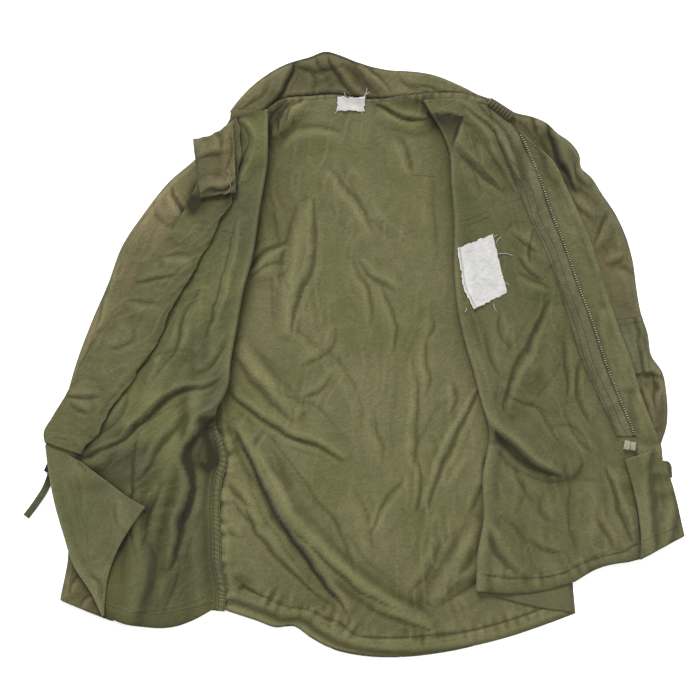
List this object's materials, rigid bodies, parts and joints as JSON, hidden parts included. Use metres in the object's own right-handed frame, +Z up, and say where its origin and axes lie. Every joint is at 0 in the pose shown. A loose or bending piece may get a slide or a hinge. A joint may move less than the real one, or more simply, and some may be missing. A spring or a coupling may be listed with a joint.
{
  "type": "flight shirt",
  "caption": "Long-sleeved olive cloth shirt with a full front zip, laid open on its back with its fronts spread over the sleeves.",
  "frame": {"origin": "middle of the whole outline seen from above, at floor level", "axes": "+Z up from the floor; +Y from hem to collar; +X towards the wearer's left front, because the inside faces up"},
  "size_m": [0.8886, 0.8098, 0.021],
  "materials": {
    "cloth_inside": "matt plain-weave cotton, olive green",
    "cloth_outside": "matt plain-weave cotton, faded to a brownish olive",
    "label_cloth": "matt white cotton tape, bare",
    "zip_tape": "matt cotton tape, olive",
    "zip_metal": "dull brass, worn",
    "strap_webbing": "matt woven tape, dark grey-green"
  },
  "bodies": {
    "root": {"back": "cloth_inside", "collar": "cloth_outside", "right_sleeve": "cloth_outside", "left_sleeve": "cloth_outside", "right_front": "cloth_inside", "left_front": "cloth_inside", "right_facing": "cloth_inside", "right_lapel": "cloth_outside", "left_fly": "cloth_inside", "left_hem_facing": "cloth_inside", "zip_tape": "zip_tape", "zip_chain": "zip_metal", "zip_slider": "zip_metal", "neck_label": "label_cloth", "front_label": "label_cloth", "pencil_pocket": "cloth_inside", "left_cuff_tab": "cloth_outside", "right_strap": "strap_webbing", "strap_keeper": "strap_webbing", "shoulder_band": "cloth_outside"}
  },
  "joints": []
}
